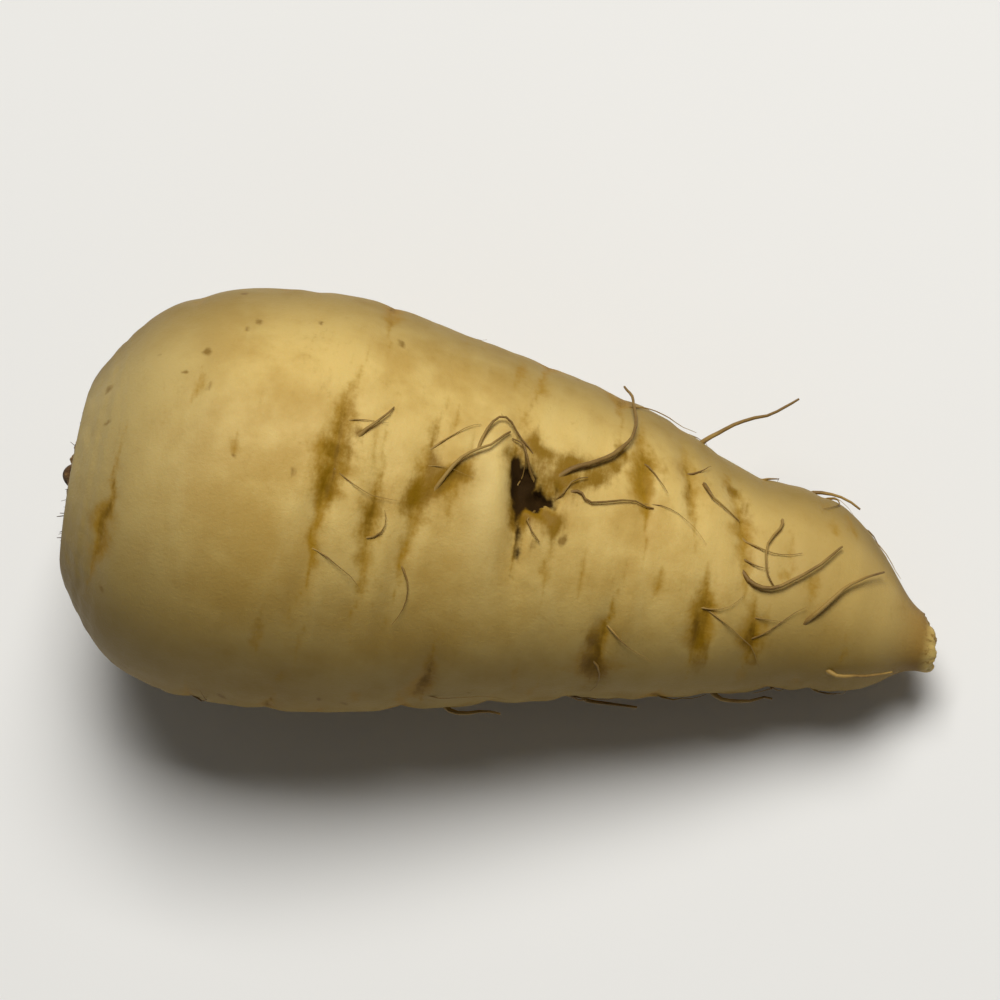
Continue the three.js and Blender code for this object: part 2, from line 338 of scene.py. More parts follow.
def speckMask(along, turn):
    # brown specks: at, turn, size in mm, with more from seeded draws on the sides that face away
    placed = [
        (14.5, 41, 0.4), (13.7, 38, 0.35), (19.5, 43, 0.45), (7, 32, 0.45), (10.8, 29, 0.4),
        (9.4, 23, 0.4), (3.1, 28, 0.4), (3.6, 10, 0.4), (7.8, -89, 0.7), (24.4, 8, 0.55),
        (16.4, -87, 0.6), (39.9, -14, 0.5), (42.2, -11, 0.4), (38.6, -24, 0.55), (11.6, 17, 0.6),
        (14.7, -2, 0.4), (19.7, -5, 0.45), (26.4, 42, 0.5), (5.4, -51, 0.45), (28, -95, 0.6),
    ]
    looks = random.Random(12)
    for _ in range(70):
        turnThere = looks.uniform(60, 290)
        placed.append((3 + 60 * looks.random() ** 1.4, turnThere, looks.uniform(0.18, 0.45)))
    mask = np.zeros(len(along))
    for at, middle, size in placed:
        length = size * looks.uniform(0.55, 1.1)
        width = size * looks.uniform(0.7, 1.7)
        spot = patch(along, turn, at, middle, length, width, looks.uniform(-40, 40))
        mask = np.maximum(mask, looks.uniform(0.5, 1.05) * spot)
    return mask


def cutCreases(height, along, turn, outer, fray, ragged):
    # lowers height into every crease, and gives masks for the stains and their dark bottoms
    look = creaseLook
    waver = 0.5 * noiseOver(outer, (9, 3.2, 3.2)) + 0.22 * noiseOver(outer, 1.3, 7)
    stain = np.zeros(len(along))
    dark = np.zeros(len(along))
    for crease in mainCreases + smallCreases:
        across = turnBetween(turn, crease["turn"])
        tinted = across - crease.get("tint", 0)
        off = along - crease["at"] - crease["slant"] * across + waver
        length = bell(across, crease["reach"])
        width = crease["width"]
        away = look["lipAway"] * width
        lips = bell(off + away, width) + bell(off - away, width)
        fold = look["foldDepth"] * bell(off, look["foldWidth"] * width)
        line = look["lineDepth"] * length ** 2 * bell(off, look["lineWidth"])
        height -= crease["depth"] * length * (fold + line)
        height += look["lipHeight"] * crease["depth"] * length * lips
        tintLength = bell(tinted, look["stainReach"] * crease["reach"])
        spindle = look["stainWidth"] * crease["stain"] * tintLength * ragged + 0.1
        frayed = off + look["frayed"] * fray
        strength = length ** 0.5 * min(1, 0.35 + crease["stain"])
        stain = np.maximum(stain, bell(frayed, spindle) * strength)
        deep = look["darkest"] * crease["dark"] * bell(tinted, crease["reach"])
        dark = np.maximum(dark, deep * bell(frayed, look["darkWidth"] * spindle + 0.1))
    return stain, dark


def tearPit(height, along, turn, fray, jag):
    # sinks the torn hole into height, raises the ridge beside it, and gives the hole's mask
    across = np.radians(turnBetween(turn, pit["turn"])) * radiusAt(pit["at"])
    near = bell(along - pit["at"] + 0.35 * fray, pit["width"]) * bell(across, pit["width"])
    torn = patch(along + 0.7 * fray, turn + jag, *pit["hole"])
    torn += 0.75 * patch(along + 0.6 * fray, turn + jag, *pit["tear"])
    hole = np.clip(torn, 0, 1)
    height -= pit["depth"] * (0.5 * near + hole)
    ridgeLength = bell(turnBetween(turn, ridge["turn"]), ridge["reach"])
    height += ridge["height"] * bell(along - ridge["at"], ridge["width"]) * ridgeLength
    return hole


def wrinkleSkin(height, along, outer):
    # soft swellings, fine wrinkles that run round the root, and fine rings round the crown's lip
    relief = skinRelief
    height += relief["swelling"] * noiseOver(outer, 7, 3)
    wrinkles = noiseOver(outer, (1.8, 7, 7), 11) + 0.4 * noiseOver(outer, (0.8, 4, 4), 17)
    fine, added = relief["wrinkles"]
    height += wrinkles * (fine + added * smoothstep(along, *relief["wrinklesGrow"]))
    rings = np.sin(5.2 * along + 2.2 * noiseOver(outer, 3, 53)) + noiseOver(outer, 0.8, 57)
    height += relief["lipRings"] * rings * bell(along - relief["lipRingsAt"], 1.7)


def sculptRoot(piece):
    # moves the skin by its relief and writes the masks that its colours read
    mesh = piece.data
    places = np.empty(len(mesh.vertices) * 3)
    mesh.vertices.foreach_get("co", places)
    places = places.reshape(-1, 3) / mm
    core = places.copy()        # the plain form, for the noise of the broken end
    along = places[:, 0]        # still a part of places, so it moves with the broken end
    radius = np.hypot(places[:, 1], places[:, 2])
    turn = np.degrees(np.arctan2(places[:, 1], places[:, 2]))
    angle = np.radians(turn)
    outline = radiusAt(along)
    outer = np.stack([along, outline * np.sin(angle), outline * np.cos(angle)], axis=1)

    # ragged edges for the stains and the pit
    fray = 0.75 * noiseOver(outer, (0.8, 2.4, 2.4), 41)
    fray += 0.5 * noiseOver(outer, (0.5, 1.1, 1.1), 47)
    jag = 5 * noiseOver(outer, 0.8, 61)
    ragged = np.clip(1 + 0.9 * noiseOver(outer, (2.2, 1.5, 1.5), 31), 0.2, 2)

    height = skinRelief["oval"] * np.cos(2 * angle - 1.2 + 0.045 * along)
    height += skinRelief["threeSided"] * np.cos(3 * angle + 1.3 - 0.11 * along)
    stain, dark = cutCreases(height, along, turn, outer, fray, ragged)
    hole = tearPit(height, along, turn, fray, jag)
    wrinkleSkin(height, along, outer)

    # the relief is low underneath, and fades out at both ends and inside the hollow
    underside = smoothstep(180 - np.abs(turnBetween(turn, 0)), 14, 34)
    ends = smoothstep(along, 0.8, 4) * (1 - smoothstep(along, 69, 73))
    share = np.minimum(1, radius / outline) ** 4
    height *= (0.25 + 0.75 * underside) * ends * share

    # the broken end and the rim are rough
    tornEnd = smoothstep(along, *skinRelief["snapFrom"])
    height += (0.2 * noiseOver(core, 0.5, 5) + 0.55 * noiseOver(outer, 2.6, 8)) * tornEnd
    rim = bell(along - 1.4, 1.1) * smoothstep(radius, 6.6, 7.4)
    height += skinRelief["roughRim"] * noiseOver(outer, (2, 1.6, 1.6), 23) * rim
    scale = np.where(radius > 0.01, 1 + height / np.maximum(radius, 0.01), 1)
    places[:, 1] = places[:, 1] * scale + wander(along)
    places[:, 2] *= scale
    snapped = 0.45 * np.abs(noiseOver(core, 0.55, 9)) + 0.7 * noiseOver(core, 1.7, 2)
    snapped += 0.24 * core[:, 1] - 0.15 * core[:, 2]
    places[:, 0] -= snapped * tornEnd
    mesh.vertices.foreach_set("co", (places * mm).ravel())

    masks = {
        "stain": stain,
        "dark": dark,
        # browned torn flesh in the hole, darkened with painted shade of the hole and its crack
        "pit": np.clip(hole * 1.5 + crackShadeMask(along + 0.25 * fray, turn), 0, 1),
        "bruise": bruiseMask(along + 0.45 * fray, turn) * np.clip(ragged, 0.72, 1.3),
        "speck": speckMask(along + 0.16 * fray, turn + 0.3 * jag),
        # pale swollen skin on the ridge, with a painted highlight where it stands proud
        "paleRidgeAndHighlight": bell(along - ridge["paleHighlightAt"], ridge["paleHighlightWidth"])
        * bell(turn - ridge["paleHighlightTurn"], ridge["reach"]),
        "under": smoothstep(20 - turn, 20, 95) + smoothstep(turn, 24, 64),    # painted shade on all but the top band: below, round the back and on the far edge
        "along": along / rootShape["tailEnd"],
        "rimDirt": rimMask(along, radius, angle),
    }
    for name, values in masks.items():
        writeMask(mesh, name, values)
    mesh.update()


def makeRoot():
    # a ring at the hollow's floor is extruded out over the shoulder and along to the tail
    lengths = np.linspace(outlineAlong[0], outlineAlong[-1], 4000)
    steps = np.hypot(np.diff(lengths), np.diff(radiusAt(lengths)))
    walked = np.concatenate([[0], np.cumsum(steps)])
    alongs = np.interp(np.linspace(0, walked[-1], rootShape["rings"]), walked, lengths)
    body = [(at, float(radiusAt(at))) for at in alongs]
    profile = rootShape["hollow"] + body + rootShape["brokenEnd"]
    at, radius = profile[0]
    selectNone()
    bpy.ops.mesh.primitive_circle_add(vertices=rootShape["columns"], radius=radius * mm,
                                      fill_type="TRIFAN", location=(at * mm, 0, 0),
                                      rotation=(0, rightTurn, 0))
    piece = bpy.context.object
    piece.name = "rootBody"
    settle(piece)
    startEdit()
    for nextAt, nextRadius in profile[1:]:
        step = (nextAt - at) * mm
        bpy.ops.mesh.extrude_region_move(TRANSFORM_OT_translate={"value": (step, 0, 0)})
        growth = nextRadius / radius
        bpy.ops.transform.resize(value=(1, growth, growth), center_override=(nextAt * mm, 0, 0))
        at, radius = nextAt, nextRadius
    finishEdit()
    makeFiner(piece, rootShape["smoothing"])
    sculptRoot(piece)
    return piece


def lyingFrame(piece):
    # lays the root on its side where the CAD root lies, and returns the way there
    slope = math.radians(rootShape["tilt"])
    lay = Matrix.Rotation(slope, 4, "Y")
    alongs = np.linspace(outlineAlong[0], outlineAlong[-1], 2000)
    lowest = np.min(-alongs * math.sin(slope) - radiusAt(alongs) * math.cos(slope)) * mm
    piece.data.transform(lay)
    corners = np.empty(len(piece.data.vertices) * 3)
    piece.data.vertices.foreach_get("co", corners)
    corners = corners.reshape(-1, 3)
    low, high = (Vector(corner) for corner in rootBox)
    shiftX = high.x - corners[:, 0].max()
    shiftY = (low.y + high.y) / 2 - (corners[:, 1].min() + corners[:, 1].max()) / 2
    shift = Vector((shiftX, shiftY, -lowest - rootShape["flatDepth"] * mm))
    corners += np.array(shift)
    corners[:, 2] = np.maximum(corners[:, 2], 0)
    piece.data.vertices.foreach_set("co", corners.ravel())
    piece.data.update()
    return Matrix.Translation(shift) @ lay


root = makeRoot()
toPart = lyingFrame(root)
selectOnly(root)
bpy.ops.object.shade_smooth()
print("root modelled:", len(root.data.polygons), "faces")


# Rootlets lie along the skin: each stop is (along, turn, lift above the skin in mm)

rootletLook = {
    "roundness": 1,       # bevel resolution of the tubes
    "step": 0.7,          # mm between points
    "waver": 0.25,        # how much they wriggle, mm
    "slimmer": 0.68,      # the drawn radius, as a share of the solid one
    "collar": 0.7,        # how much thicker they are where they leave the skin
    "collarSteps": 1.6,
    "uneven": 0.2,
    "aboveFloor": 0.4,    # mm
    "seed": 1,            # unseeded, the noise that bends them would differ on every run
    "hairs": 90,
    "hairReach": (2.5, 9),
    "hairRadius": (0.05, 0.12),
}

# radius in mm at the start, then the stops
seenRootlets = [
    (0.24, [(24.2, 6, -0.6), (24.6, 8, 0.1), (25.2, 10, 0.35), (26.3, 14, 0.5), (26.7, 17, 0.2)]),
    (0.3, [(30.5, -8, -0.8), (31.6, 0, 0.1), (33.2, 9, 0.5), (35, 13, 0.6), (36.4, 20, 0.3)]),
    (0.2, [(33.9, 8, -0.5), (34.5, 18, 0.4), (35.6, 24, 0.6), (37.2, 21, 0.5), (38.6, 16, 0)]),
    (0.36, [(40.2, 8, -0.9), (42, 14, 0.3), (45.2, 24, 0.6), (46.6, 38, 0.7), (46.2, 60, 0.8),
            (45.4, 74, 1.1)]),
    (0.2, [(41.8, 6, -0.4), (43, 7, 0.25), (44.1, 4, 0.3), (47.2, 9, 0.35), (49.2, 10, 0.1)]),
    (0.22, [(53, 36, -0.4), (53.4, 31, 0.3), (54.3, 26, 0.4), (56.4, 24, 0.2)]),
    (0.32, [(56.8, 2, -0.8), (58, -8, 0.2), (60, -11, 0.5), (62.4, -3, 0.6), (64.2, 9, 0.6),
            (65.4, 21, 0.5)]),
    (0.34, [(62.6, -34, -0.8), (64, -22, 0.3), (66, -4, 0.6), (68, 12, 0.8), (69.2, 26, 1)]),
    (0.2, [(60, 34, -0.4), (60.1, 25, 0.3), (59.2, 12, 0.4), (59.4, -2, 0.4), (60.3, -11, 0.1)]),
    (0.24, [(39.5, 4, -1.6), (39.2, 8, -0.3), (38.4, 12, 0.4), (37.6, 18, 0.5), (36.7, 19, 0.2)]),
    (0.18, [(39.9, 1, -1.4), (39.6, -2, -0.2), (39.1, -7, 0.3), (40.4, -12, 0.3)]),
    (0.16, [(39.2, 0, -1), (40.3, 2, -0.6), (41.4, 4, 0.1), (42.3, 10, 0.4), (43.4, 13, 0.3)]),
    (0.36, [(52, 72, -0.9), (53.2, 78, 0.8), (55.4, 80, 3.4), (58.6, 79, 6), (60, 80, 7.3)]),
]
backRoots = [(62, 104), (57, -92), (50, 118), (46, -112), (41, 96), (35, -96), (66, -60)]


def backRootlets():
    draw = drawer(7)
    paths = []
    for at, rank in backRoots:
        sideways = 22 * (next(draw) - 0.5)
        rise = 0.5 + 0.5 * next(draw)
        path = [
            (at - 0.6, rank, -0.9),
            (at + 0.6, rank + 0.2 * sideways, 0.4),
            (at + 2.6, rank + 0.6 * sideways, rise - 0.1),
            (at + 4.6 + next(draw), rank + sideways, rise + 0.2),
        ]
        paths.append((0.34, path))
    return paths


def smoothPath(stops, count):
    # a smooth curve through the stops
    ends = [stops[0], *stops, stops[-1]]
    path = []
    for step in range(count):
        place = step / (count - 1) * (len(stops) - 1)
        index = min(int(place), len(stops) - 2)
        share = place - index
        before, start, end, after = (Vector(stop) for stop in ends[index:index + 4])
        bend = 2 * before - 5 * start + 4 * end - after
        curl = 3 * start - before - 3 * end + after
        path.append(start + 0.5 * ((end - before) * share + bend * share ** 2 + curl * share ** 3))
    return path


def skinTree(piece):
    corners = [vertex.co.copy() for vertex in piece.data.vertices]
    faces = [tuple(face.vertices) for face in piece.data.polygons]
    return BVHTree.FromPolygons(corners, faces)


def skinPoint(tree, along, turn, lift):
    # drops a line onto the skin from outside and stands off by lift
    angle = math.radians(turn)
    outwards = toPart.to_3x3() @ Vector((0, math.sin(angle), math.cos(angle)))
    middle = toPart @ Vector((along * mm, float(wander(along)) * mm, 0))
    clearOfSkin = 40 * mm
    hit = tree.ray_cast(middle + outwards * clearOfSkin, -outwards)[0]
    point = (hit or middle) + outwards * lift * mm
    point.z = max(point.z, rootletLook["aboveFloor"] * mm)
    return point


def pathLength(stops):
    total = 0
    for first, second in zip(stops, stops[1:]):
        round_ = math.radians(second[1] - first[1]) * float(radiusAt(first[0]))
        total += math.hypot(second[0] - first[0], round_, second[2] - first[2])
    return total


def startThreads(name, roundness):
    # a curve whose lines become round threads, with each point's radius in mm
    curve = bpy.data.curves.new(name, "CURVE")
    curve.dimensions = "3D"
    curve.bevel_depth = mm
    curve.bevel_resolution = roundness
    curve.use_fill_caps = True
    return curve


def meshThreads(name, curve):
    selectOnly(addObject(name, curve))
    bpy.ops.object.convert(target="MESH")
    return bpy.context.object


def drawThreads(name, threads, tree, taper):
    # every thread is one line of a curve, thicker where it leaves the skin
    look = rootletLook
    noise.seed_set(look["seed"])
    curve = startThreads(name, look["roundness"])
    for number, (radius, stops) in enumerate(threads):
        count = max(6, int(pathLength(stops) / look["step"]))
        line = curve.splines.new("POLY")
        line.points.add(count - 1)
        for step, (along, turn, lift) in enumerate(smoothPath(stops, count)):
            share = step / (count - 1)
            wriggle = noise.noise_vector(Vector((along * 0.7, turn * 0.08, number * 3.1)))
            along += look["waver"] * wriggle.x * share
            turn += 4 * look["waver"] * wriggle.y * share
            line.points[step].co = (*skinPoint(tree, along, turn, lift), 1)
            collar = look["collar"] * math.exp(-(step / look["collarSteps"]) ** 2)
            thinning = (1 + collar - taper * share) * (1 + look["uneven"] * wriggle.z)
            line.points[step].radius = look["slimmer"] * radius * thinning
    piece = meshThreads(name, curve)
    startEdit()
    finishEdit()
    bpy.ops.object.shade_smooth()
    return piece


def fineHairs():
    # thin hairs grow out of the creases, more of them towards the tail
    looks = random.Random(23)
    hairs = []
    homes = seenCreases + backCreases()
    for _ in range(rootletLook["hairs"]):
        home = looks.choice(homes)
        if looks.random() > 0.25 + home["at"] / 60:
            continue
        turn = home["turn"] + looks.uniform(-0.7, 0.7) * home["reach"]
        if abs(turnBetween(turn, 180)) < 34:        # none where the root rests
            continue
        at = home["at"] + home["slant"] * (turn - home["turn"])
        reach = looks.uniform(*rootletLook["hairReach"]) * (0.6 + 0.4 * looks.random())
        heading = looks.uniform(-1.1, 1.1)
        curl = looks.uniform(-0.9, 0.9)
        stops = [(at - 0.3, turn, -0.3)]
        for step in range(1, 5):
            heading += curl * 0.5
            at = min(at + reach / 4 * math.cos(heading), 71)
            turn += math.degrees(reach / 4 * math.sin(heading) / max(float(radiusAt(at)), 4))
            stops.append((at, turn, 0.12 + 0.12 * step * looks.random()))
        hairs.append((looks.uniform(*rootletLook["hairRadius"]), stops))
    return hairs


tree = skinTree(root)
rootlets = drawThreads("sideRootlets", seenRootlets + backRootlets(), tree, 0.6)
hairs = drawThreads("fineHairs", fineHairs(), tree, 0.75)
print("rootlets drawn:", len(rootlets.data.polygons) + len(hairs.data.polygons), "faces")


# The crown: trimmed leaf-stalk bases in a spiral, made flat and then set in the hollow

crownShape = {
    "floorAt": 2.7,              # mm along the root
    "radius": 6.25,
    "padThickness": 0.9,
    "padFoot": 0.4,              # how far the pad's foot draws in
    "padWidest": 0.45,           # the height at which it is widest
    "stubs": 10,
    "stubFoot": 0.5,             # the stubs start at this height, inside the pad
    "stubThickness": 1.15,
    "innermost": 1.9,            # radius of the smallest stub
    "stubHeight": (1.1, 1.3),    # outermost, innermost
    "stubTaller": 0.6,           # the most that a draw adds to it
    "stubSlope": 0.12,           # how steeply a cut may run, up or down
    "stubArc": (38, 80),         # half, in degrees
    "stubFlare": 0.045,          # how much a stub widens for each mm up
    "dishRim": 0.24,
    "dishDepth": 0.16,
    "spiralTurn": 137.5,
    "budRadius": 1.1,
    "fibres": 110,
    "fibreReach": (0.6, 1.9),
    "fibreRadius": (0.05, 0.14),
    "fibreLean": 0.5,
}
stubWear = {
    "offMiddle": 0.3,           # how far from its middle a crescent may be thickest, as a share
    "outwards": (0.9, 1.35),    # how far it bulges out and in, as a share of its thickness
    "inwards": 1.2,
    "thinnest": 0.16,
    "uneven": 0.35,
    "bend": 0.3,
    "lower": 0.45,              # the most that is worn off the top, mm
    "lowerTips": 0.5,
    "torn": (0.3, 0.22),        # coarse and fine, mm
    "ripple": 0.012,
}


def bareCircle(name, radius, corners, height, fill="NOTHING"):
    selectNone()
    bpy.ops.mesh.primitive_circle_add(vertices=corners, radius=radius * mm, fill_type=fill,
                                      location=(0, 0, height * mm))
    piece = bpy.context.object
    piece.name = name
    settle(piece)
    return piece


def growRing(rise, size):
    # the selected faces or edges are extruded up by rise and scaled about the middle by size
    bpy.ops.mesh.extrude_region_move(TRANSFORM_OT_translate={"value": (0, 0, rise * mm)})
    bpy.ops.transform.resize(value=(size, size, 1), center_override=(0, 0, 0))


def makePad():
    foot = crownShape["radius"] - crownShape["padFoot"]
    widest = crownShape["padWidest"]
    pad = bareCircle("crownPad", foot, 40, 0, "TRIFAN")
    startEdit()
    growRing(widest, crownShape["radius"] / foot)
    growRing(crownShape["padThickness"] - widest, 0.95)
    for size in (0.8, 0.75, 0.6):
        # the top rises to the middle in rings
        bpy.ops.mesh.inset(thickness=0.001 * mm)
        bpy.ops.transform.resize(value=(size, size, 1), center_override=(0, 0, 0))
        bpy.ops.transform.translate(value=(0, 0, 0.1 * mm))
    finishEdit()
    return pad


def extrudeCrescent(radius, thickness, halfArc, height):
    # part of a ring, extruded up from the pad and dished where it was cut
    outer = radius + thickness / 2
    stub = bareCircle("stalkBase", outer, 48, crownShape["stubFoot"])
    for vertex in stub.data.vertices:
        vertex.select = abs(math.atan2(vertex.co.y, vertex.co.x)) > halfArc
    for group in (stub.data.edges, stub.data.polygons):
        for item in group:
            item.select = False
    bpy.ops.object.mode_set(mode="EDIT")
    bpy.ops.mesh.select_mode(type="VERT")
    bpy.ops.mesh.delete(type="VERT")
    bpy.ops.mesh.select_all(action="SELECT")
    growRing(0, (radius - thickness / 2) / outer)
    bpy.ops.mesh.select_all(action="SELECT")
    for rise in (0.35, 0.65):
        growRing(rise * height, 1 + crownShape["stubFlare"] * rise * height)
    bpy.ops.mesh.inset(thickness=crownShape["dishRim"] * mm)
    bpy.ops.transform.translate(value=(0, 0, -crownShape["dishDepth"] * mm))
    finishEdit()
    makeFiner(stub, 2)
    return stub


def weatherStub(stub, index, radius, halfArc, height, slope):
    # pointed at the two ends of the crescent, uneven in thickness, and cut askew and rough
    wear = stubWear
    looks = random.Random(index + 60)
    middle = looks.uniform(-wear["offMiddle"], wear["offMiddle"])
    outwards = looks.uniform(*wear["outwards"])
    lower = looks.uniform(0, wear["lower"])
    age = looks.uniform(0.1, 1)
    coarse, fine = wear["torn"]
    cut = []
    for vertex in stub.data.vertices:
        x, y, z = vertex.co / mm
        turn = math.atan2(y, x) / halfArc        # -1 to 1, tip to tip
        share = min(1, abs(turn - middle) / (1 + abs(middle)) + 0.25 * max(0, abs(turn) - 0.75))
        far = math.hypot(x, y)
        uneven = 1 + wear["uneven"] * noise.noise(Vector((turn * 2.3, z * 0.5, index * 3.7)))
        thin = max(wear["thinnest"], (1 - share ** 2) ** 0.7) * uneven
        bend = wear["bend"] * noise.noise(Vector((turn * 1.4, index * 9.1, 2)))
        side = wear["inwards"] if far < radius else outwards
        squeezed = radius + bend + (far - radius) * thin * side
        top = min(1, max(0, (z - crownShape["stubFoot"]) / height))        # 0 to 1, foot to cut
        torn = coarse * noise.noise(Vector((x * 1.1, y * 1.1, index * 5.0)))
        torn += fine * noise.noise(Vector((x * 3.6, y * 3.6, index * 2.0)))
        up = z + (slope * y + torn - lower - wear["lowerTips"] * share ** 3) * top
        ripple = 1 + wear["ripple"] * math.sin(14 * turn * halfArc * radius + index)
        vertex.co = Vector((x, y, 0)) * (squeezed * ripple / far * mm)
        vertex.co.z = max(up, crownShape["padWidest"]) * mm
        cut.append(float(smoothstep(top, 0.8, 0.97)))
    writeMask(stub.data, "cut", cut)
    writeMask(stub.data, "age", [age] * len(cut))


def makeStub(index, draw):
    inward = index / (crownShape["stubs"] - 1)        # 0 outermost, 1 innermost
    thickness = crownShape["stubThickness"]
    radius = mix(crownShape["radius"] - 0.65 * thickness, crownShape["innermost"], inward)
    halfArc = math.radians(mix(*crownShape["stubArc"], inward))
    height = mix(*crownShape["stubHeight"], inward) + crownShape["stubTaller"] * next(draw)
    slope = crownShape["stubSlope"] * (next(draw) - 0.5)
    stub = extrudeCrescent(radius, thickness, halfArc, height)
    weatherStub(stub, index, radius, halfArc, height, slope)
    stub.data.transform(Matrix.Rotation(math.radians(index * crownShape["spiralTurn"]), 4, "Z"))
    return stub


def makeBud():
    selectNone()
    height = (crownShape["padThickness"] + 0.6) * mm
    bpy.ops.mesh.primitive_uv_sphere_add(segments=24, ring_count=14,
                                         radius=crownShape["budRadius"] * mm,
                                         location=(0, 0, height), scale=(1, 1, 1.3))
    bud = bpy.context.object
    bud.name = "crownBud"
    settle(bud)
    # the folded leaves of the bud show as five ribs that twist as they rise
    for vertex in bud.data.vertices:
        x, y, z = vertex.co
        ribs = 1 + 0.1 * math.cos(5 * math.atan2(y, x) + 900 * z)
        vertex.co = Vector((x * ribs, y * ribs, z))
    return bud


def crownPlace():
    # height above the hollow's floor becomes the way out of the crown
    axes = Matrix(((0, 0, -1), (-1, 0, 0), (0, 1, 0))).to_4x4()
    middle = Vector((crownShape["floorAt"], float(wander(outlineAlong[0])), 0)) * mm
    return toPart @ Matrix.Translation(middle) @ axes


def crownFibres():
    # short dry threads left where the outer stalks were
    looks = random.Random(3)
    lean = crownShape["fibreLean"]
    curve = startThreads("crownFibres", 1)
    for _ in range(crownShape["fibres"]):
        angle = looks.uniform(0, 2 * math.pi)
        far = crownShape["radius"] * math.sqrt(looks.uniform(0.05, 0.95))
        heading = Vector((looks.uniform(-lean, lean), looks.uniform(-lean, lean), 1))
        reach = looks.uniform(*crownShape["fibreReach"])
        start = Vector((far * math.cos(angle), far * math.sin(angle), crownShape["stubFoot"]))
        thickness = looks.uniform(*crownShape["fibreRadius"])
        line = curve.splines.new("POLY")
        line.points.add(4)
        for step in range(5):
            share = step / 4
            bend = Vector((math.cos(angle), math.sin(angle), 0)) * 0.4 * share ** 2
            line.points[step].co = (*((start + heading * reach * share + bend) * mm), 1)
            line.points[step].radius = thickness * (1 - 0.7 * share)
    return meshThreads("crownFibres", curve)


def makeCrown():
    draw = drawer(13)
    stubs = [makeStub(index, draw) for index in range(crownShape["stubs"])]
    crown = joinPieces([*stubs, makePad(), makeBud(), crownFibres()], "stalkBases")
    crown.data.transform(crownPlace())
    crown.data.update()
    selectOnly(crown)
    bpy.ops.object.shade_smooth_by_angle(angle=math.radians(50))
    return crown


crown = makeCrown()
print("crown modelled:", len(crown.data.polygons), "faces")


# Shader graphs

def colour(red, green, blue):
    # screen colour, 0 to 255, as the shader's linear colour
    channels = []
    for part in (red, green, blue):
        share = part / 255
        channels.append(share / 12.92 if share <= 0.04045 else ((share + 0.055) / 1.055) ** 2.4)
    return (*channels, 1)


def tonesOf(look):
    # the colours among a material's settings, as the shader takes them
    return {name: colour(*value) for name, value in look.items() if name != "roughness"}


class Wire:
    # a socket, for sums with numbers and other sockets
    def __init__(self, graph, socket):
        self.graph = graph
        self.socket = socket

    def maths(self, operation, first, second):
        return self.graph.node("ShaderNodeMath", {"operation": operation}, {0: first, 1: second})

    def __add__(self, other):
        return self.maths("ADD", self, other)

    def __radd__(self, other):
        return self.maths("ADD", other, self)

    def __sub__(self, other):
        return self.maths("SUBTRACT", self, other)

    def __rsub__(self, other):
        return self.maths("SUBTRACT", other, self)

    def __mul__(self, other):
        return self.maths("MULTIPLY", self, other)

    def __rmul__(self, other):
        return self.maths("MULTIPLY", other, self)


class Finish:
    # one material and the nodes it is made of
    def __init__(self, name):
        self.material = bpy.data.materials.new(name)
        self.material.use_nodes = True
        self.tree = self.material.node_tree
        self.tree.nodes.clear()

    def node(self, kind, settings=None, inputs=None, output=0):
        made = self.tree.nodes.new(kind)
        for name, value in (settings or {}).items():
            setattr(made, name, value)
        for name, value in (inputs or {}).items():
            if isinstance(value, Wire):
                self.tree.links.new(value.socket, made.inputs[name])
            else:
                made.inputs[name].default_value = value
        return Wire(self, made.outputs[output]) if made.outputs else None

    def mask(self, name):
        return self.node("ShaderNodeAttribute", {"attribute_name": name}, output="Fac")

    def places(self, tiltDeg=0):
        # Object coordinates in millimetres, with X along the root
        where = self.node("ShaderNodeTexCoord", output="Object")
        return self.node("ShaderNodeMapping", inputs={
            "Vector": where, "Rotation": (0, math.radians(tiltDeg), 0), "Scale": (1 / mm,) * 3})

    def stretched(self, places, x, y, z):
        return self.node("ShaderNodeVectorMath", {"operation": "MULTIPLY"}, {0: places, 1: (x, y, z)})

    def noise(self, places, scale, detail=3, rough=0.55):
        return self.node("ShaderNodeTexNoise", inputs={
            "Vector": places, "Scale": scale, "Detail": detail, "Roughness": rough})

    def spread(self, value, low, high, start=0.0, end=1.0):
        # a smooth step from start, where the value is low, to end, where it is high
        return self.node("ShaderNodeMapRange", {"interpolation_type": "SMOOTHSTEP"}, {
            "Value": value, "From Min": low, "From Max": high, "To Min": start, "To Max": end})

    def blend(self, share, first, second):
        return self.node("ShaderNodeMix", {"data_type": "RGBA"},
                         {0: share, 6: first, 7: second}, output=2)

    def bump(self, height, distance, under=None):
        inputs = {"Height": height, "Distance": distance}
        if under:
            inputs["Normal"] = under
        return self.node("ShaderNodeBump", inputs=inputs)

    def surface(self, **inputs):
        shader = self.node("ShaderNodeBsdfPrincipled", inputs={
            name.replace("_", " "): value for name, value in inputs.items()})
        self.node("ShaderNodeOutputMaterial", inputs={"Surface": shader})
        return self.material


skinLook = {
    "cream": (207, 178, 106),
    "ochre": (184, 151, 79),
    # pale tone of the rings, and of the ridge with its painted highlight
    "pale": (214, 192, 126),
    # the shoulder's greyer skin, darkened with painted shade
    "greyShoulderAndShade": (163, 143, 91),
    "paintedShade": (123, 98, 34),    # painted shade, on all but the top band
    "knob": (165, 137, 74),    # the last swelling before the tail
    "stain": (150, 111, 4),
    "brown": (94, 66, 0),
    "bruise": (126, 92, 0),
    # browned torn flesh, near black as painted shade of the hole and its crack
    "pit": (42, 25, 0),
    "speck": (112, 80, 12),
    "dirt": (78, 53, 18),
    "tail": (128, 96, 40),
    "torn": (196, 170, 100),
    "roughness": 0.54,
}


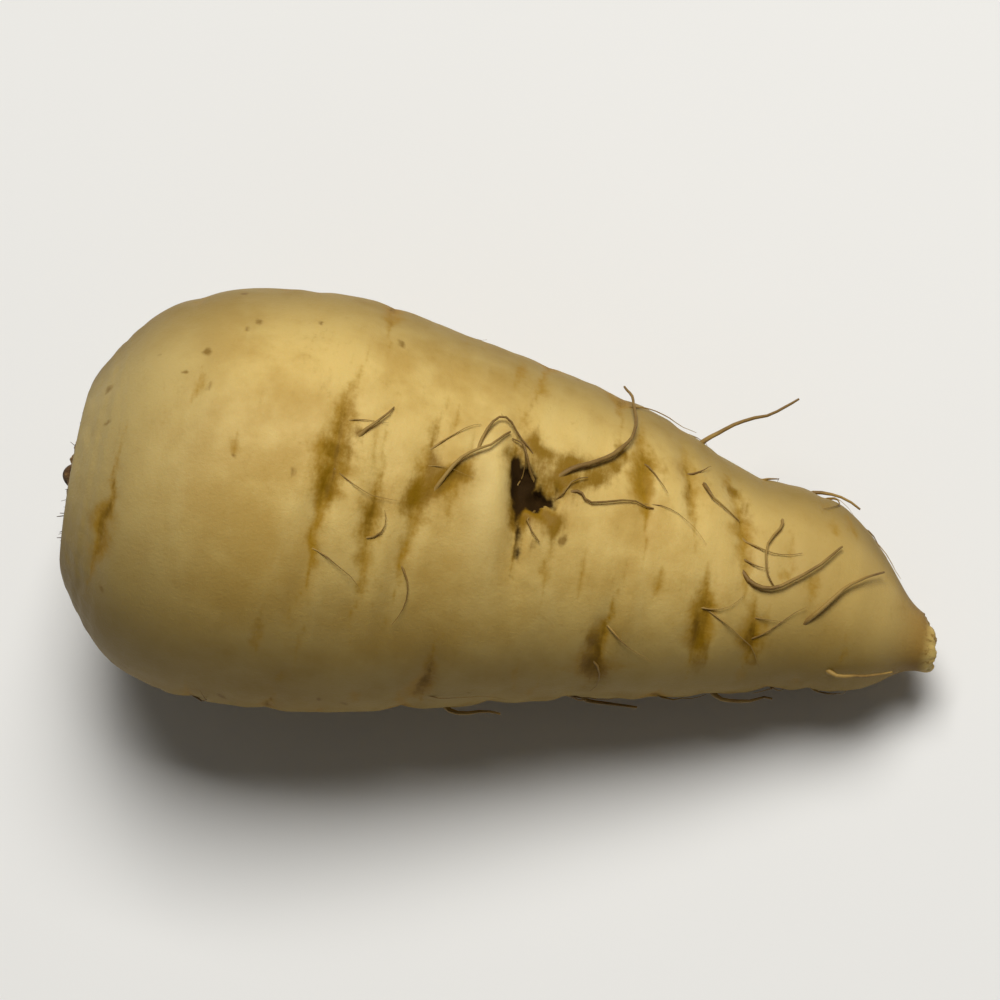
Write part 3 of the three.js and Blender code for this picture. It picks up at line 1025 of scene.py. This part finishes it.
def bareShade(skin, look, places, rings, mottle, grain):
    # cream to ochre in clouds, rings and grain, then the shoulder's greyer tone with painted shade,
    # painted shade on the sides and back, the ridge's pale skin with a painted highlight, the knob
    # and the tail
    along = skin.mask("along")
    clouds = skin.noise(places, 0.075, 4)
    warmth = skin.spread(clouds + 0.5 * mottle, 0.6, 0.92)
    shade = skin.blend(warmth, look["cream"], look["ochre"])
    woody = skin.spread(along, 0.98, 0.995) * skin.spread(skin.noise(places, 1.3, 4, 0.7), 0.5, 0.62)
    layers = [
        ("pale", skin.spread(rings, 0.52, 0.74, 0, 0.22)),
        ("ochre", skin.spread(rings, 0.46, 0.26, 0, 0.22)),
        ("ochre", skin.spread(grain, 0.55, 0.75, 0, 0.16)),
        # greyer skin at the shoulder, with painted shade towards the crown
        ("greyShoulderAndShade", skin.spread(along, 0.26, 0.03, 0, 0.85)),
        ("knob", skin.spread(along, 0.68, 0.86, 0, 0.7)),
        # painted shade: the underside and far side darker, where the light falls off
        ("paintedShade", 0.74 * skin.mask("under")),
        # pale ridge, partly a painted highlight
        ("pale", 0.55 * skin.mask("paleRidgeAndHighlight")),
        ("tail", skin.spread(along, 0.94, 0.99, 0, 0.8)),
        ("torn", skin.spread(along, 0.985, 1, 0, 0.8)),
        ("tail", 0.8 * woody),
    ]
    for name, share in layers:
        shade = skin.blend(share, shade, look[name])
    return shade


def skinFinish():
    look = tonesOf(skinLook)
    skin = Finish("parsnipSkin")
    places = skin.places(-rootShape["tilt"])
    mottle = skin.noise(places, 0.32, 5, 0.6)
    rings = skin.noise(skin.stretched(places, 1, 0.3, 0.3), 0.42, 4, 0.5)
    grain = skin.noise(places, 2.2, 4, 0.6)
    shade = bareShade(skin, look, places, rings, mottle, grain)

    # the marks, each over the one before: colour, mask with its ragged edge, low, high, strength
    edge = 0.6 * (grain - 0.5) + 0.5 * (mottle - 0.5)
    streaks = skin.noise(skin.stretched(places, 1, 0.22, 0.22), 1.7, 4, 0.65) - 0.5
    marks = [
        ("stain", skin.mask("stain") + edge, 0.08, 1, 0.92),
        ("bruise", skin.mask("bruise") + 1.1 * edge + 1.1 * streaks, 0.05, 1.25, 0.95),
        ("brown", skin.mask("dark") + 0.8 * edge + 0.5 * streaks, 0.2, 0.95, 0.9),
        # the hole and crack: browned flesh with painted shade
        ("pit", skin.mask("pit") + 0.5 * edge, 0.25, 0.8, 1),
        ("speck", skin.mask("speck") + 0.6 * edge, 0.25, 0.8, 0.75),
        ("dirt", skin.mask("rimDirt") + 0.5 * edge, 0.1, 0.95, 0.92),
    ]
    shares = {}
    for name, mask, low, high, strength in marks:
        shares[name] = skin.spread(mask, low, high, 0, strength)
        shade = skin.blend(shares[name], shade, look[name])

    fine = skin.bump(skin.noise(places, 3.2, 4, 0.7), 0.05 * mm)
    lines = skin.bump(rings, 0.14 * mm, fine)
    roughness = skinLook["roughness"] + 0.25 * (mottle - 0.5)
    roughness = roughness + 0.2 * shares["brown"] + 0.35 * shares["pit"]
    return skin.surface(Base_Color=shade, Roughness=roughness, Normal=lines,
                        Subsurface_Weight=0.1, Subsurface_Radius=(1.0, 0.55, 0.2),
                        Subsurface_Scale=1.5 * mm, Specular_IOR_Level=0.14)


threadLook = {
    "brown": (116, 86, 28),
    "ochre": (148, 117, 50),
    "dry": (168, 138, 74),
    "roughness": 0.65,
}


def threadFinish():
    look = tonesOf(threadLook)
    thread = Finish("rootletSkin")
    places = thread.places(-rootShape["tilt"])
    patches = thread.noise(places, 0.22, 3)
    grain = thread.noise(places, 4, 4, 0.7)
    shade = thread.blend(thread.spread(patches, 0.4, 0.6), look["brown"], look["ochre"])
    shade = thread.blend(thread.spread(grain, 0.5, 0.75, 0, 0.5), shade, look["dry"])
    return thread.surface(Base_Color=shade, Roughness=threadLook["roughness"] + 0.3 * (grain - 0.5),
                          Normal=thread.bump(grain, 0.06 * mm))


crownLook = {
    "husk": (98, 66, 28),
    "char": (50, 32, 13),
    "straw": (160, 122, 64),
    "cut": (186, 152, 94),    # a fresher cut, and an old one
    "old": (122, 90, 46),
    "roughness": 0.85,
}


def crownFinish():
    look = tonesOf(crownLook)
    husk = Finish("stalkHusk")
    places = husk.places(-rootShape["tilt"])
    fibres = husk.noise(husk.stretched(places, 0.3, 1, 1), 3.2, 5, 0.65)
    patches = husk.noise(places, 0.6, 4)
    vessels = husk.node("ShaderNodeTexVoronoi", {"feature": "F1"}, {
        "Vector": husk.stretched(places, 0.2, 1, 1), "Scale": 2.6})
    shade = husk.blend(husk.spread(patches, 0.4, 0.62), look["char"], look["husk"])
    shade = husk.blend(husk.spread(fibres, 0.48, 0.7, 0, 0.8), shade, look["straw"])
    cut = husk.mask("cut") * husk.spread(patches + 0.5 * fibres, 0.5, 0.85)
    aged = husk.spread(husk.mask("age") + 0.6 * patches, 0.6, 1.1)
    fresh = husk.blend(aged, look["cut"], look["old"])
    shade = husk.blend(0.8 * cut, shade, fresh)
    shade = husk.blend(husk.spread(fibres, 0.5, 0.36, 0, 0.5), shade, look["husk"])
    dots = husk.spread(vessels, 0.24, 0.1) * cut
    shade = husk.blend(0.75 * dots, shade, look["char"])
    rough = husk.bump(fibres, 0.45 * mm)
    return husk.surface(Base_Color=shade, Roughness=crownLook["roughness"] - 0.15 * cut, Normal=rough)


def coat(piece, material):
    piece.data.materials.clear()
    piece.data.materials.append(material)


coat(root, skinFinish())
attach(root, "root")
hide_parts("root")
print("skin finished")

threadSkin = threadFinish()
for threads in (rootlets, hairs):
    coat(threads, threadSkin)
    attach(threads, "root")
print("rootlets finished")

coat(crown, crownFinish())
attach(crown, "root")
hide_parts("crown")
print("crown finished")


# Floor, camera and lights

stageLook = {
    "floor": ((222, 222, 220), (226, 226, 224)),
    "floorSize": 3.0,        # metres, as the next two are
    "distance": 0.45,
    "fieldWidth": 0.0846,    # what the picture takes in, at the root
    "lean": 12,              # degrees that the camera leans to the -Y side of the root's top
    "slope": 9.8,            # degrees that the root's axis runs down to the right
    "aim": (36.6, 3.8),      # mm along the axis and above it in the picture
}
lightLook = {
    # place and size in metres, power in watts, tint; for the room, tint and strength
    "keyLight": ((0.07, 0.45, 1.08), 0.58, 15.5, (1, 0.985, 0.96)),
    "fillLight": ((0.3, -0.6, 0.4), 0.6, 0.15, (0.97, 0.985, 1)),
    "room": ((1, 0.98, 0.94), 0.08),
}


def floorFinish():
    floor = Finish("paleFloor")
    tones = [colour(*tone) for tone in stageLook["floor"]]
    tone = floor.blend(floor.noise(floor.places(), 0.02, 3), *tones)
    return floor.surface(Base_Color=tone, Roughness=0.7)


def makeFloor():
    selectNone()
    bpy.ops.mesh.primitive_plane_add(size=stageLook["floorSize"])
    floor = bpy.context.object
    floor.name = "floor"
    floor.data.materials.append(floorFinish())


def pictureAxes():
    # right, up and towards the camera, in the part's frame
    turned = toPart.to_3x3()
    axis = turned @ Vector((1, 0, 0))
    lean = math.radians(stageLook["lean"])
    towards = turned @ Vector((0, -math.sin(lean), math.cos(lean)))
    above = turned @ Vector((0, math.cos(lean), math.sin(lean)))
    slope = math.radians(stageLook["slope"])
    right = axis * math.cos(slope) + above * math.sin(slope)
    up = above * math.cos(slope) - axis * math.sin(slope)
    return right, up, towards, above, axis


def makeCamera():
    right, up, towards, above, axis = pictureAxes()
    alongAxis, aboveAxis = stageLook["aim"]
    aim = toPart.translation + (axis * alongAxis + above * aboveAxis) * mm
    place = aim + towards * stageLook["distance"]
    lens = bpy.data.cameras.new("camera")
    lens.lens = lens.sensor_width * stageLook["distance"] / stageLook["fieldWidth"]
    lens.clip_start = 0.01
    camera = addObject("camera", lens)
    turned = Matrix((right, up, towards)).transposed().to_4x4()
    camera.matrix_world = Matrix.Translation(place) @ turned
    bpy.context.scene.camera = camera


def makeLight(name, place, size, power, tint):
    lamp = bpy.data.lights.new(name, "AREA")
    lamp.size = size
    lamp.energy = power
    lamp.color = tint
    light = addObject(name, lamp)
    light.location = place
    light.rotation_euler = (-Vector(place)).to_track_quat("-Z", "Y").to_euler()


def makeLights():
    for name in ("keyLight", "fillLight"):
        makeLight(name, *lightLook[name])
    world = bpy.data.worlds.new("softRoom")
    world.use_nodes = True
    tint, strength = lightLook["room"]
    background = world.node_tree.nodes["Background"]
    background.inputs["Color"].default_value = (*tint, 1)
    background.inputs["Strength"].default_value = strength
    bpy.context.scene.world = world


makeFloor()
makeCamera()
makeLights()
bpy.context.scene.view_settings.view_transform = "Standard"    # colours come out as they are mixed
print("stage set")
